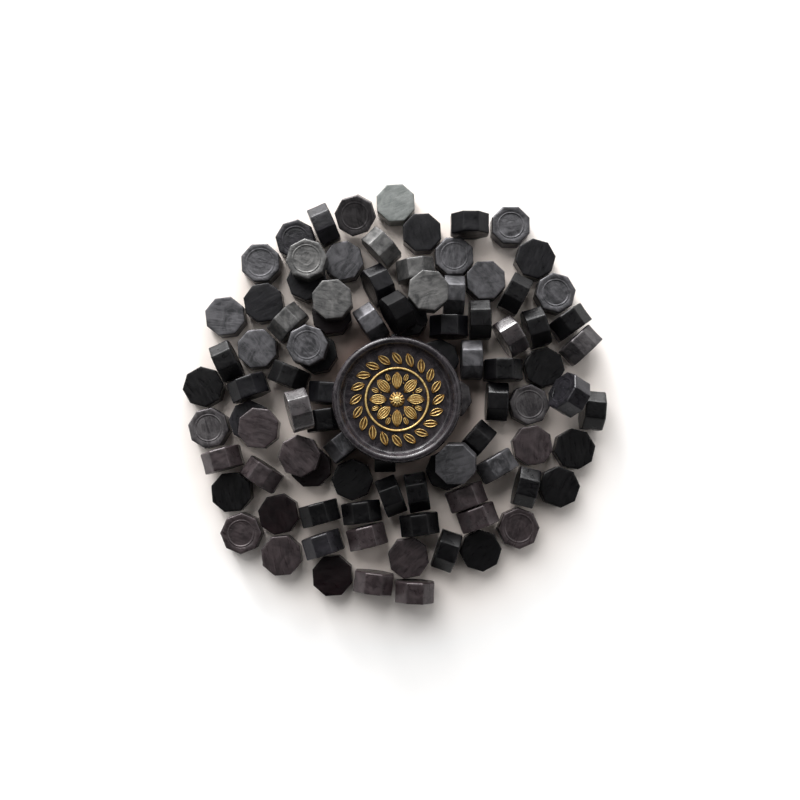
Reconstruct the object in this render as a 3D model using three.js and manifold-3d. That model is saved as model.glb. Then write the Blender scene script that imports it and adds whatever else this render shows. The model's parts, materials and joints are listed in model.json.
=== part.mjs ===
// A heap of octagonal sealing wax beads with a stamped wax seal lying on top of it.
// Millimetres, +Z up, +Y away from the viewer. The heap stands on the plane z = 0.

import * as THREE from "three";
import { mergeVertices } from "three/addons/utils/BufferGeometryUtils.js";
import Module from "manifold-3d";

const wasm = await Module();
wasm.setup();

// Bead
const BEAD_WIDTH = 9.3; // across two opposite flats
const BEAD_THICKNESS = 5.1;
const BEAD_EDGE = 0.35; // bevel round both faces
const MARK_RADIUS = 3.1; // round pouring mark on one face
const MARK_DEPTH = 0.15;
const MARK_SIDES = 12;
const BEAD_SIDES = 8;

// Stamped seal
const STAMP_RADIUS = 12.5; // radius of the stamp that pressed the field
const FIELD_THICKNESS = 2.7; // wax left under the stamp
const RIM_HEIGHT = 1.7; // wax that rose round the stamp, above the field
const RIM_LEAN = 0.5; // how far the inner side of the rim leans out on its way up
const RIM_TOP = 0.65; // width of the level crest
const RIM_SHOULDER = 1.15; // from the crest out to the wall
const SEAL_ROUND = 0.9; // height of the rounded edge, above and below the wall
const EDGE_FULLNESS = 0.3; // share of the rounded edge that its middle point stands in from the corner
const SEAL_SIDES = 40;

// Raised design on the seal, from the stamp's edge inwards
const RELIEF_HEIGHT = 0.55;
const RELIEF_ROOT = 0.3; // how far the design reaches down into the field
const WREATH_MARGIN = 1.5; // bare field outside the leaves
const LEAF_COUNT = 20;
const LEAF_LENGTH = 3.6;
const LEAF_WIDTH = 1.9;
const LEAF_SLANT = 38; // degrees off the radius
const RING_MARGIN = 0.6; // between the leaves and the plain ring
const RING_WIDTH = 0.6;
const PETAL_COUNT = 8;
const PETAL_WIDTH = 2.5;
const PETAL_MARGIN = 0.45; // at both ends of a petal
const SEPAL_LENGTH = 2.1; // small leaf between two petals
const SEPAL_WIDTH = 1.15;
const BOSS_RADIUS = 1.8;
const BOSS_TOP_RADIUS = 1.45;
const BOSS_CROWN = 0.22; // how far the boss rises above the other parts of the design

// Seating
const SEAT_GAP = 0.25; // kept between neighbours
const NECK_RADIUS = 0.8; // wax bridge of two beads that stick together
const NECK_SIDES = 8;

// How the picture that the places below were read from was taken, in its own pixels
const PICTURE_MIDDLE = 400;
const BEAD_WIDTH_PIXELS = 38; // a bead that lies on the table in the middle of the picture
const LENS_PIXELS = 988;
const LEAN_OF_VIEW = 4; // degrees off straight down

const SEAL_RADIUS = STAMP_RADIUS + RIM_LEAN + RIM_TOP + RIM_SHOULDER;
const SEAL_THICKNESS = FIELD_THICKNESS + RIM_HEIGHT;

// Search for a seat, in bead widths and degrees
const SHIFT_RINGS = [0.03, 0.06, 0.1, 0.14, 0.19, 0.25];
const SHIFT_DIRECTIONS = 16;
const SHIFT_COST = 1.6; // height worth giving up to stay on the place
const TILT_STEPS = [4, 8, 12];
const TILT_DIRECTIONS = 8;
const TILT_COST = 0.03;
const SEATING_ROUNDS = 2;
const SPREAD_GAP = 0.3; // between beads on the table
const SPREAD_ROUNDS = 400;
const SHOWN_SHARE = 0.1; // how readily a bead that shows gives way to one that does not
const LEVEL_ENOUGH = 0.3; // a direction steeper than this is no use for a level push
const LOOSE_GAP = 0.8; // a bead on the table that lies farther from the others is drawn to them

// The beads, lowest first. at is where the middle of the upper face shows in the picture. turn is the
// angle of an upper edge, for a bead that lies flat, and axis that of the line through both faces,
// for one on its side. level is a first guess of the layer. lean tips a bead towards an angle.
const BEADS = [
  { name: "bead_01", at: [262, 262], lie: "mark_up", turn: 3, level: 1 },
  { name: "bead_02", at: [264, 302], lie: "plain_up", turn: 10, level: 1 },
  { name: "bead_09", at: [284, 320], lie: "on_side", axis: -45, level: 1 },
  { name: "bead_03", at: [225, 316], lie: "plain_up", turn: 7, level: 1 },
  { name: "bead_23", at: [256, 350], lie: "plain_up", turn: 4, level: 1 },
  { name: "bead_04", at: [296, 240], lie: "mark_up", turn: 16, level: 1 },
  { name: "bead_06", at: [308, 284], lie: "plain_up", turn: 20, level: 1 },
  { name: "bead_07", at: [325, 222], lie: "on_side", axis: 24, level: 1 },
  { name: "bead_10", at: [356, 216], lie: "mark_up", turn: 16, level: 1, lean: { toward: 265, by: 18 } },
  { name: "bead_11", at: [394, 203], lie: "plain_up", turn: 3, level: 1 },
  { name: "bead_12", at: [422, 232], lie: "plain_up", turn: 3, level: 1 },
  { name: "bead_14", at: [379, 247], lie: "on_side", axis: 43, level: 1 },
  { name: "bead_16", at: [381, 285], lie: "on_side", axis: 207, level: 1, lean: { toward: 27, by: 12 } },
  { name: "bead_08", at: [345, 260], lie: "plain_up", turn: 12, level: 1 },
  { name: "bead_13", at: [414, 262], lie: "on_side", axis: 98, level: 1 },
  { name: "bead_80", at: [454, 256], lie: "mark_up", turn: 2, level: 1 },
  { name: "bead_79", at: [471, 224], lie: "on_side", axis: 270, level: 1 },
  { name: "bead_78", at: [511, 225], lie: "mark_up", turn: 0, level: 1 },
  { name: "bead_76", at: [536, 259], lie: "plain_up", turn: 29, level: 1 },
  { name: "bead_81", at: [486, 279], lie: "plain_up", turn: 2, level: 1 },
  { name: "bead_77", at: [554, 293], lie: "mark_up", turn: 30, level: 1 },
  { name: "bead_84", at: [516, 292], lie: "on_side", axis: -28, level: 1 },
  { name: "bead_74", at: [567, 322], lie: "on_side", axis: 125, level: 1 },
  { name: "bead_75", at: [581, 345], lie: "on_side", axis: 133, level: 1 },
  { name: "bead_71", at: [543, 366], lie: "plain_up", turn: 15, level: 1 },
  { name: "bead_95", at: [596, 411], lie: "on_side", axis: -6, level: 1 },
  { name: "bead_62", at: [572, 448], lie: "plain_up", turn: 31, level: 1 },
  { name: "bead_60", at: [560, 486], lie: "plain_up", turn: 25, level: 1 },
  { name: "bead_63", at: [531, 446], lie: "plain_up", turn: 10, level: 1 },
  { name: "bead_64", at: [529, 404], lie: "mark_up", turn: 17, level: 1 },
  { name: "bead_67", at: [493, 405], lie: "on_side", axis: -3, level: 1 },
  { name: "bead_68", at: [452, 397], lie: "plain_up", turn: 10, level: 1 },
  { name: "bead_66", at: [479, 439], lie: "on_side", axis: -41, level: 1 },
  { name: "bead_65", at: [500, 465], lie: "on_side", axis: 120, level: 1 },
  { name: "bead_61", at: [528, 489], lie: "on_side", axis: -14, level: 1 },
  { name: "bead_59", at: [519, 527], lie: "mark_up", turn: 24, level: 1 },
  { name: "bead_58", at: [480, 549], lie: "plain_up", turn: 28, level: 1 },
  { name: "bead_57", at: [446, 550], lie: "on_side", axis: -19, level: 1 },
  { name: "bead_54", at: [405, 556], lie: "plain_up", turn: 10, level: 1 },
  { name: "bead_56", at: [415, 590], lie: "on_side", axis: 88, level: 1 },
  { name: "bead_55", at: [374, 581], lie: "on_side", axis: 83, level: 1 },
  { name: "bead_42", at: [333, 575], lie: "plain_up", turn: 4, level: 1 },
  { name: "bead_39", at: [281, 556], lie: "plain_up", turn: 5, level: 1 },
  { name: "bead_37", at: [243, 531], lie: "mark_up", turn: 22, level: 1 },
  { name: "bead_38", at: [280, 513], lie: "plain_up", turn: 12, level: 1 },
  { name: "bead_41", at: [322, 547], lie: "on_side", axis: 108, level: 1 },
  { name: "bead_33", at: [312, 466], lie: "plain_up", turn: 2, level: 1 },
  { name: "bead_40", at: [321, 514], lie: "on_side", axis: 105, level: 1 },
  { name: "bead_36", at: [232, 492], lie: "plain_up", turn: 5, level: 1 },
  { name: "bead_34", at: [221, 461], lie: "on_side", axis: 106, level: 1 },
  { name: "bead_35", at: [258, 476], lie: "on_side", axis: 56, level: 1 },
  { name: "bead_30", at: [209, 427], lie: "mark_up", turn: 14, level: 1 },
  { name: "bead_25", at: [206, 386], lie: "plain_up", turn: 30, level: 1 },
  { name: "bead_24", at: [224, 360], lie: "on_side", axis: 25, level: 1 },
  { name: "bead_26", at: [253, 387], lie: "on_side", axis: 110, level: 1 },
  { name: "bead_31", at: [247, 418], lie: "plain_up", turn: 20, level: 1 },
  { name: "bead_20", at: [332, 318], lie: "plain_up", turn: 9, level: 1 },
  { name: "bead_22", at: [318, 352], lie: "plain_up", turn: 12, level: 1 },
  { name: "bead_86", at: [446, 327], lie: "on_side", axis: 90, level: 1 },
  { name: "bead_97", at: [416, 321], lie: "plain_up", turn: 12, level: 1 },
  { name: "bead_87", at: [441, 356], lie: "plain_up", turn: 16, level: 1 },
  { name: "bead_88", at: [405, 340], lie: "on_side", axis: 33, level: 1 },
  { name: "bead_69", at: [472, 358], lie: "on_side", axis: 0, level: 1 },
  { name: "bead_70", at: [505, 369], lie: "on_side", axis: 90, level: 1 },
  { name: "bead_83", at: [477, 318], lie: "on_side", axis: 1, level: 1 },
  { name: "bead_82", at: [455, 291], lie: "on_side", axis: -2, level: 1 },
  { name: "bead_73", at: [535, 327], lie: "on_side", axis: 17, level: 1 },
  { name: "bead_72", at: [507, 335], lie: "on_side", axis: 31, level: 1 },
  { name: "bead_27", at: [293, 372], lie: "on_side", axis: 68, level: 1 },
  { name: "bead_89", at: [318, 389], lie: "on_side", axis: 85, level: 1 },
  { name: "bead_85", at: [326, 421], lie: "on_side", axis: 98, level: 1 },
  { name: "bead_90", at: [341, 443], lie: "on_side", axis: -52, level: 1 },
  { name: "bead_92", at: [385, 461], lie: "on_side", axis: 0, level: 1 },
  { name: "bead_50", at: [470, 495], lie: "on_side", axis: 110, level: 1 },
  { name: "bead_51", at: [478, 518], lie: "on_side", axis: 110, level: 1 },
  { name: "bead_48", at: [420, 522], lie: "on_side", axis: 97, level: 1 },
  { name: "bead_45", at: [366, 535], lie: "on_side", axis: 104, level: 1 },
  { name: "bead_44", at: [361, 513], lie: "on_side", axis: 98, level: 1 },
  { name: "bead_43", at: [352, 480], lie: "plain_up", turn: 22, level: 1 },
  { name: "bead_46", at: [389, 496], lie: "on_side", axis: 21, level: 1 },
  { name: "bead_47", at: [424, 496], lie: "on_side", axis: 10, level: 1 },
  { name: "bead_91", at: [384, 416], lie: "plain_up", turn: 12, level: 1, hidden: true },
  { name: "bead_53", at: [430, 422], lie: "on_side", axis: 30, level: 1, hidden: true },
  { name: "bead_49", at: [450, 466], lie: "plain_up", turn: 25, level: 1, hidden: true },
  { name: "bead_05", at: [308, 257], lie: "mark_up", turn: 28, level: 2 },
  { name: "bead_17", at: [394, 311], lie: "on_side", axis: 30, level: 2, lean: { toward: 30, by: 10 } },
  { name: "bead_18", at: [369, 323], lie: "on_side", axis: 33, level: 1 },
  { name: "bead_19", at: [334, 304], lie: "plain_up", turn: 6, level: 2 },
  { name: "bead_21", at: [303, 345], lie: "mark_up", turn: 28, level: 2 },
  { name: "bead_29", at: [258, 428], lie: "plain_up", turn: 39, level: 2 },
  { name: "bead_15", at: [423, 290], lie: "plain_up", turn: 39, level: 2 },
  { name: "bead_28", at: [297, 409], lie: "on_side", axis: 16, level: 2 },
  { name: "bead_94", at: [573, 393], lie: "on_side", axis: 150, level: 2, lean: { toward: -30, by: 24 } },
  { name: "bead_32", at: [302, 453], lie: "plain_up", turn: 28, level: 2 },
  { name: "bead_52", at: [457, 463], lie: "plain_up", turn: 0, level: 2 },
];

// The seal, in the same terms as the beads.
const SEAL = { name: "wax_seal", at: [397, 399], lie: "mark_up", turn: 0, level: 3 };

// Pairs of neighbours that stick together, each made as one piece and named from left to right.
const STUCK_PAIRS = [
  ["bead_01", "bead_04"],
  ["bead_02", "bead_09"],
  ["bead_06", "bead_20"],
  ["bead_07", "bead_08"],
  ["bead_10", "bead_11"],
  ["bead_14", "bead_13"],
  ["bead_16", "bead_97"],
  ["bead_18", "bead_88"],
  ["bead_27", "bead_22"],
  ["bead_24", "bead_23"],
  ["bead_26", "bead_31"],
  ["bead_33", "bead_90"],
  ["bead_34", "bead_35"],
  ["bead_38", "bead_40"],
  ["bead_41", "bead_42"],
  ["bead_43", "bead_46"],
  ["bead_44", "bead_45"],
  ["bead_47", "bead_49"],
  ["bead_48", "bead_57"],
  ["bead_50", "bead_65"],
  ["bead_51", "bead_58"],
  ["bead_53", "bead_68"],
  ["bead_55", "bead_54"],
  ["bead_59", "bead_61"],
  ["bead_62", "bead_95"],
  ["bead_64", "bead_63"],
  ["bead_66", "bead_67"],
  ["bead_87", "bead_69"],
  ["bead_70", "bead_72"],
  ["bead_71", "bead_75"],
  ["bead_73", "bead_74"],
  ["bead_80", "bead_79"],
  ["bead_81", "bead_84"],
  ["bead_86", "bead_82"],
  ["bead_85", "bead_89"],
  ["bead_91", "bead_92"],
];

const UP = new THREE.Vector3(0, 0, 1);
const EAST = new THREE.Vector3(1, 0, 0);
const radians = THREE.MathUtils.degToRad;

// The upright direction at an angle in the plane of the table.
function flatDirection(degrees) {
  return new THREE.Vector3(Math.cos(radians(degrees)), Math.sin(radians(degrees)), 0);
}

// Where a point of the picture lies on the level plane at a height.
function onLevel([across, down], height) {
  const pixel = BEAD_WIDTH / BEAD_WIDTH_PIXELS;
  const lean = radians(LEAN_OF_VIEW);
  const eyeHeight = LENS_PIXELS * pixel * Math.cos(lean);
  const right = across - PICTURE_MIDDLE;
  const rise = PICTURE_MIDDLE - down;
  const away = LENS_PIXELS * Math.sin(lean) + rise * Math.cos(lean);
  const drop = LENS_PIXELS * Math.cos(lean) - rise * Math.sin(lean);
  const reach = (eyeHeight - height) / drop;
  return [right * reach, away * reach - eyeHeight * Math.tan(lean)];
}

// A regular prism for seating: its axis, half of its facet normals and half of its corner directions.
function prism(sides, width, height, turned) {
  const half = sides / 2;
  const step = 360 / sides;
  const normals = [];
  const corners = [];
  for (let index = 0; index < half; index += 1) {
    normals.push(flatDirection(90 + index * step).applyQuaternion(turned));
    corners.push(flatDirection(90 + (index + 0.5) * step).applyQuaternion(turned));
  }
  return {
    turned,
    normals,
    corners,
    axis: UP.clone().applyQuaternion(turned),
    halfHeight: height / 2,
    cornerRadius: width / 2 / Math.cos(Math.PI / sides),
    reach: Math.hypot(width / 2 / Math.cos(Math.PI / sides), height / 2),
    centre: new THREE.Vector3(),
  };
}

// How far a prism reaches from its centre along a direction.
function extent(body, direction) {
  let widest = 0;
  for (const corner of body.corners) {
    widest = Math.max(widest, Math.abs(corner.dot(direction)));
  }
  return body.halfHeight * Math.abs(body.axis.dot(direction)) + body.cornerRadius * widest;
}

// Every direction along which two prisms can be told apart.
function apartDirections(first, second) {
  const firstLines = [first.axis, ...first.normals];
  const secondLines = [second.axis, ...second.normals];
  const crossed = [];
  for (const one of firstLines) {
    for (const other of secondLines) {
      const direction = new THREE.Vector3().crossVectors(one, other);
      if (direction.lengthSq() > 1e-6) {
        crossed.push(direction.normalize());
      }
    }
  }
  return [...firstLines, ...secondLines, ...crossed];
}

// The heights between which a prism over (x, y) touches a fixed one.
function touchingHeights(body, x, y, fixed) {
  let low = -Infinity;
  let high = Infinity;
  for (const direction of apartDirections(body, fixed)) {
    const reach = extent(body, direction) + extent(fixed, direction) + SEAT_GAP;
    const aside = direction.x * (x - fixed.centre.x) + direction.y * (y - fixed.centre.y)
      - direction.z * fixed.centre.z;
    if (Math.abs(direction.z) < 1e-6) {
      if (Math.abs(aside) >= reach) {
        return null;
      }
    } else {
      const ends = [(-reach - aside) / direction.z, (reach - aside) / direction.z];
      low = Math.max(low, Math.min(...ends));
      high = Math.min(high, Math.max(...ends));
      if (low >= high) {
        return null;
      }
    }
  }
  return [low, high];
}

// The height at which a prism that comes straight down over (x, y) is stopped.
function restingHeight(body, x, y, placed) {
  let height = extent(body, UP);
  for (const fixed of placed) {
    const room = body.reach + fixed.reach + SEAT_GAP;
    if (Math.hypot(x - fixed.centre.x, y - fixed.centre.y) < room) {
      const heights = touchingHeights(body, x, y, fixed);
      if (heights) {
        height = Math.max(height, heights[1]);
      }
    }
  }
  return height;
}

// How a piece lies before it settles.
function lieOf(piece) {
  const turned = new THREE.Quaternion();
  if (piece.lie === "on_side") {
    const roll = new THREE.Quaternion().setFromAxisAngle(EAST, radians(90));
    const head = new THREE.Quaternion().setFromAxisAngle(UP, radians(piece.axis + 90));
    turned.multiplyQuaternions(head, roll);
  } else {
    turned.setFromAxisAngle(UP, radians(piece.turn));
    if (piece.lie === "plain_up") {
      turned.multiply(new THREE.Quaternion().setFromAxisAngle(EAST, Math.PI));
    }
  }
  if (piece.lean) {
    turned.premultiply(tip(piece.lean.toward, piece.lean.by));
  }
  return turned;
}

// A turn that tips a piece down towards an angle.
function tip(toward, by) {
  return new THREE.Quaternion().setFromAxisAngle(flatDirection(toward + 90), radians(by));
}

const SHIFTS = [[0, 0, 0]];
for (const ring of SHIFT_RINGS) {
  for (let index = 0; index < SHIFT_DIRECTIONS; index += 1) {
    const way = flatDirection((index * 360) / SHIFT_DIRECTIONS);
    SHIFTS.push([way.x * ring, way.y * ring, ring]);
  }
}

const TILTS = [[0, 0]];
for (const by of TILT_STEPS) {
  for (let index = 0; index < TILT_DIRECTIONS; index += 1) {
    TILTS.push([(index * 360) / TILT_DIRECTIONS, by]);
  }
}

// The least level push that parts two prisms on the table, from the first to the second.
function leastPush(first, second) {
  const between = new THREE.Vector3().subVectors(second.centre, first.centre);
  if (between.length() > first.reach + second.reach + SPREAD_GAP) {
    return null;
  }
  let least = null;
  for (const direction of apartDirections(first, second)) {
    const aside = direction.dot(between);
    const overlap = extent(first, direction) + extent(second, direction) + SPREAD_GAP - Math.abs(aside);
    if (overlap <= 0) {
      return null;
    }
    const level = Math.hypot(direction.x, direction.y);
    if (level > LEVEL_ENOUGH && (!least || overlap / level < least.size)) {
      const sense = aside < 0 ? -1 : 1;
      const way = new THREE.Vector3(direction.x, direction.y, 0).multiplyScalar(sense / level);
      least = { way, size: overlap / level };
    }
  }
  return least.way.multiplyScalar(least.size);
}

// The widest level gap between two prisms on the table, and the way from the first to the second.
function levelGap(first, second) {
  const between = new THREE.Vector3().subVectors(second.centre, first.centre);
  let widest = null;
  for (const direction of apartDirections(first, second)) {
    const level = Math.hypot(direction.x, direction.y);
    if (level > LEVEL_ENOUGH) {
      const aside = direction.dot(between);
      const size = (Math.abs(aside) - extent(first, direction) - extent(second, direction)) / level;
      if (!widest || size > widest.size) {
        const sense = aside < 0 ? -1 : 1;
        const way = new THREE.Vector3(direction.x, direction.y, 0).multiplyScalar(sense / level);
        widest = { way, size };
      }
    }
  }
  return widest;
}

// Draws each bead that lies loose on the table to its nearest neighbour, from the first bead outwards.
function gather(bodies) {
  const [start, ...left] = bodies;
  const nearest = new Map(left.map((body) => [body, levelGap(start, body)]));
  while (nearest.size > 0) {
    const [next, gap] = [...nearest].reduce((one, other) => (other[1].size < one[1].size ? other : one));
    nearest.delete(next);
    if (gap.size > LOOSE_GAP) {
      next.centre.addScaledVector(gap.way, SPREAD_GAP - gap.size);
    }
    for (const [body, known] of nearest) {
      const found = levelGap(next, body);
      if (found.size < known.size) {
        nearest.set(body, found);
      }
    }
  }
}

// Puts the lowest beads on the table, draws loose ones to the others and pushes them apart until none
// touches another. A bead that does not show gives way to one that does.
function spread(pieces) {
  const bodies = pieces.map((piece) => {
    const body = beadShape(lieOf(piece));
    const rise = extent(body, UP);
    body.centre.set(...onLevel(piece.at, 2 * rise), rise);
    body.share = piece.hidden ? 1 : SHOWN_SHARE;
    return body;
  });
  gather(bodies);
  for (let round = 0; round < SPREAD_ROUNDS; round += 1) {
    let moved = false;
    bodies.forEach((first, index) => {
      for (const second of bodies.slice(index + 1)) {
        const push = leastPush(first, second);
        if (push) {
          const total = first.share + second.share;
          first.centre.addScaledVector(push, -first.share / total);
          second.centre.addScaledVector(push, second.share / total);
          moved = true;
        }
      }
    });
    if (!moved) {
      break;
    }
  }
  return bodies;
}

// Brings a piece down on its place, a little to one side or tipped where it lies lower that way.
function settle(piece, shape, placed) {
  const lie = lieOf(piece);
  const tilted = TILTS.map(([toward, by]) => shape(tip(toward, by).multiply(lie)));
  let top = extent(tilted[0], UP) * 2 + (piece.level - 1) * BEAD_THICKNESS;
  let best = null;
  for (let round = 0; round < SEATING_ROUNDS; round += 1) {
    const [x, y] = onLevel(piece.at, top);
    let shift = SHIFTS[0];
    let tilt = 0;
    best = null;
    const weigh = (tryShift, tryTilt) => {
      const body = tilted[tryTilt];
      const place = [x + tryShift[0] * BEAD_WIDTH, y + tryShift[1] * BEAD_WIDTH];
      const height = restingHeight(body, ...place, placed);
      const cost = height + SHIFT_COST * tryShift[2] * BEAD_WIDTH + TILT_COST * TILTS[tryTilt][1];
      if (!best || cost < best.cost - 1e-9) {
        best = { cost, height, place, body };
        shift = tryShift;
        tilt = tryTilt;
      }
    };
    SHIFTS.forEach((tryShift) => weigh(tryShift, 0));
    const seat = shift;
    TILTS.forEach((unused, tryTilt) => weigh(seat, tryTilt));
    const tipped = tilt;
    SHIFTS.forEach((tryShift) => weigh(tryShift, tipped));
    top = best.height + extent(best.body, UP);
  }
  best.body.centre = new THREE.Vector3(...best.place, best.height);
  return best.body;
}

// A closed solid from a geometry, with its shared corners merged.
function solidOf(geometry) {
  const bare = geometry.index ? geometry.toNonIndexed() : geometry;
  const plain = new THREE.BufferGeometry();
  plain.setAttribute("position", bare.getAttribute("position").clone());
  const merged = mergeVertices(plain, 1e-5);
  const places = merged.getAttribute("position").array;
  const corners = [];
  const index = merged.index.array;
  for (let at = 0; at < index.length; at += 3) {
    const [a, b, c] = [index[at], index[at + 1], index[at + 2]];
    if (a !== b && b !== c && c !== a) {
      corners.push(a, b, c);
    }
  }
  return new wasm.Manifold(new wasm.Mesh({
    numProp: 3,
    vertProperties: new Float32Array(places),
    triVerts: new Uint32Array(corners),
  }));
}

// A geometry from a closed solid.
function geometryOf(solid) {
  const mesh = solid.getMesh();
  const geometry = new THREE.BufferGeometry();
  geometry.setAttribute("position", new THREE.BufferAttribute(new Float32Array(mesh.vertProperties), 3));
  geometry.setIndex(new THREE.BufferAttribute(new Uint32Array(mesh.triVerts), 1));
  geometry.computeVertexNormals();
  return geometry;
}

// A turned form about +Z from its outline of [radius, height] points, lowest first.
function turnedForm(outline, sides) {
  const points = outline.map(([radius, height]) => new THREE.Vector2(radius, height));
  const geometry = new THREE.LatheGeometry(points, sides);
  geometry.rotateX(Math.PI / 2);
  return geometry;
}

// One bead, its marked face up and a flat towards +Y.
function beadSolid() {
  const half = BEAD_THICKNESS / 2;
  const corner = BEAD_WIDTH / 2 / Math.cos(Math.PI / BEAD_SIDES);
  const body = turnedForm([
    [0, -half],
    [corner - BEAD_EDGE, -half],
    [corner, -half + BEAD_EDGE],
    [corner, half - BEAD_EDGE],
    [corner - BEAD_EDGE, half],
    [0, half],
  ], BEAD_SIDES);
  body.rotateZ(Math.PI / BEAD_SIDES);
  const mark = turnedForm([
    [0, half - MARK_DEPTH],
    [MARK_RADIUS, half - MARK_DEPTH],
    [MARK_RADIUS, half + MARK_DEPTH],
    [0, half + MARK_DEPTH],
  ], MARK_SIDES);
  return solidOf(body).subtract(solidOf(mark));
}

// A pointed leaf of the design, rooted in the field: its middle lies out along the radius that stands
// at an angle around the seal, and it slants off that radius.
function leafSolid(length, width, radius, slant, around) {
  const outline = new THREE.Shape();
  outline.moveTo(0, -length / 2);
  outline.quadraticCurveTo(width, 0, 0, length / 2);
  outline.quadraticCurveTo(-width, 0, 0, -length / 2);
  const geometry = new THREE.ExtrudeGeometry(outline, {
    depth: RELIEF_HEIGHT + RELIEF_ROOT,
    bevelEnabled: false,
    curveSegments: 3,
  });
  geometry.translate(0, 0, FIELD_THICKNESS - SEAL_THICKNESS / 2 - RELIEF_ROOT);
  geometry.rotateZ(radians(slant));
  geometry.translate(0, radius, 0);
  geometry.rotateZ(radians(around));
  return solidOf(geometry);
}

// The stamped seal, its design up, centred in its own thickness.
function sealSolid() {
  const floor = -SEAL_THICKNESS / 2;
  const field = floor + FIELD_THICKNESS;
  const crest = floor + SEAL_THICKNESS;
  const crestInner = STAMP_RADIUS + RIM_LEAN;
  const crestOuter = crestInner + RIM_TOP;
  const edgeIn = SEAL_ROUND * EDGE_FULLNESS;
  const leafReach = (LEAF_LENGTH / 2) * Math.cos(radians(LEAF_SLANT));
  const wreathRadius = STAMP_RADIUS - WREATH_MARGIN - leafReach;
  const ringOuter = wreathRadius - leafReach - RING_MARGIN;
  const ringInner = ringOuter - RING_WIDTH;
  const petalLength = ringInner - BOSS_RADIUS - 2 * PETAL_MARGIN;
  let solid = solidOf(turnedForm([
    [0, floor],
    [SEAL_RADIUS - SEAL_ROUND, floor],
    [SEAL_RADIUS - edgeIn, floor + edgeIn],
    [SEAL_RADIUS, floor + SEAL_ROUND],
    [SEAL_RADIUS, crest - SEAL_ROUND],
    [SEAL_RADIUS - edgeIn, crest - edgeIn],
    [crestOuter, crest],
    [crestInner, crest],
    [STAMP_RADIUS, field],
    [ringOuter, field],
    [ringOuter, field + RELIEF_HEIGHT],
    [ringInner, field + RELIEF_HEIGHT],
    [ringInner, field],
    [BOSS_RADIUS, field],
    [BOSS_TOP_RADIUS, field + RELIEF_HEIGHT],
    [0, field + RELIEF_HEIGHT + BOSS_CROWN],
  ], SEAL_SIDES));
  const petalMiddle = BOSS_RADIUS + PETAL_MARGIN + petalLength / 2;
  const sepalMiddle = ringInner - PETAL_MARGIN - SEPAL_LENGTH / 2;
  for (let index = 0; index < PETAL_COUNT; index += 1) {
    const around = (index * 360) / PETAL_COUNT;
    const between = ((index + 0.5) * 360) / PETAL_COUNT;
    solid = solid.add(leafSolid(petalLength, PETAL_WIDTH, petalMiddle, 0, around));
    solid = solid.add(leafSolid(SEPAL_LENGTH, SEPAL_WIDTH, sepalMiddle, 0, between));
  }
  for (let index = 0; index < LEAF_COUNT; index += 1) {
    const around = (index * 360) / LEAF_COUNT;
    solid = solid.add(leafSolid(LEAF_LENGTH, LEAF_WIDTH, wreathRadius, LEAF_SLANT, around));
  }
  return solid;
}

// The bridge of wax between two beads that stick together, from centre to centre.
function neckSolid(from, to) {
  const way = new THREE.Vector3().subVectors(to, from);
  const outline = [[0, 0], [NECK_RADIUS, 0], [NECK_RADIUS, way.length()], [0, way.length()]];
  const geometry = turnedForm(outline, NECK_SIDES);
  geometry.applyQuaternion(new THREE.Quaternion().setFromUnitVectors(UP, way.normalize()));
  geometry.translate(from.x, from.y, from.z);
  return solidOf(geometry);
}

const beadShape = (turned) => prism(BEAD_SIDES, BEAD_WIDTH, BEAD_THICKNESS, turned);
const sealShape = (turned) => prism(SEAL_SIDES, 2 * SEAL_RADIUS, SEAL_THICKNESS, turned);

const blackWax = new THREE.MeshStandardMaterial({ color: 0x2b292a, roughness: 0.38, metalness: 0 });
const sealWax = new THREE.MeshStandardMaterial({ color: 0x343132, roughness: 0.34, metalness: 0 });

const beadForm = beadSolid();
const beadGeometry = geometryOf(beadForm);
const placed = new Map();
const lowest = BEADS.filter((piece) => piece.level === 1);
spread(lowest).forEach((body, index) => placed.set(lowest[index].name, body));
for (const piece of BEADS.filter((other) => other.level > 1)) {
  placed.set(piece.name, settle(piece, beadShape, [...placed.values()]));
}
const sealSeat = settle(SEAL, sealShape, [...placed.values()]);

const heap = new THREE.Group();

// A mesh that lies as its seat says.
function seatedMesh(name, geometry, material, seat) {
  const mesh = new THREE.Mesh(geometry, material);
  mesh.name = name;
  mesh.position.copy(seat.centre);
  mesh.quaternion.copy(seat.turned);
  heap.add(mesh);
}

const stuck = new Set(STUCK_PAIRS.flat());
for (const [name, seat] of placed) {
  if (!stuck.has(name)) {
    seatedMesh(name, beadGeometry, blackWax, seat);
  }
}
for (const [firstName, secondName] of STUCK_PAIRS) {
  const [first, second] = [placed.get(firstName), placed.get(secondName)];
  const ends = [first, second].map((seat) => {
    const geometry = beadGeometry.clone();
    geometry.applyQuaternion(seat.turned);
    geometry.translate(seat.centre.x, seat.centre.y, seat.centre.z);
    return solidOf(geometry);
  });
  const neck = neckSolid(first.centre, second.centre);
  const mesh = new THREE.Mesh(geometryOf(ends[0].add(ends[1]).add(neck)), blackWax);
  mesh.name = `${firstName}_with_${secondName.replace("bead_", "")}`;
  heap.add(mesh);
}
seatedMesh(SEAL.name, geometryOf(sealSolid()), sealWax, sealSeat);

// The origin is under the middle of the heap's box.
heap.updateMatrixWorld(true);
const box = new THREE.Box3().setFromObject(heap, true);
heap.position.set(-(box.min.x + box.max.x) / 2, -(box.min.y + box.max.y) / 2, -box.min.z);

export default heap;
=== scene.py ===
import json
import math
import random

import bmesh
import bpy
import numpy as np
from mathutils import Matrix, Vector, noise

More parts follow.
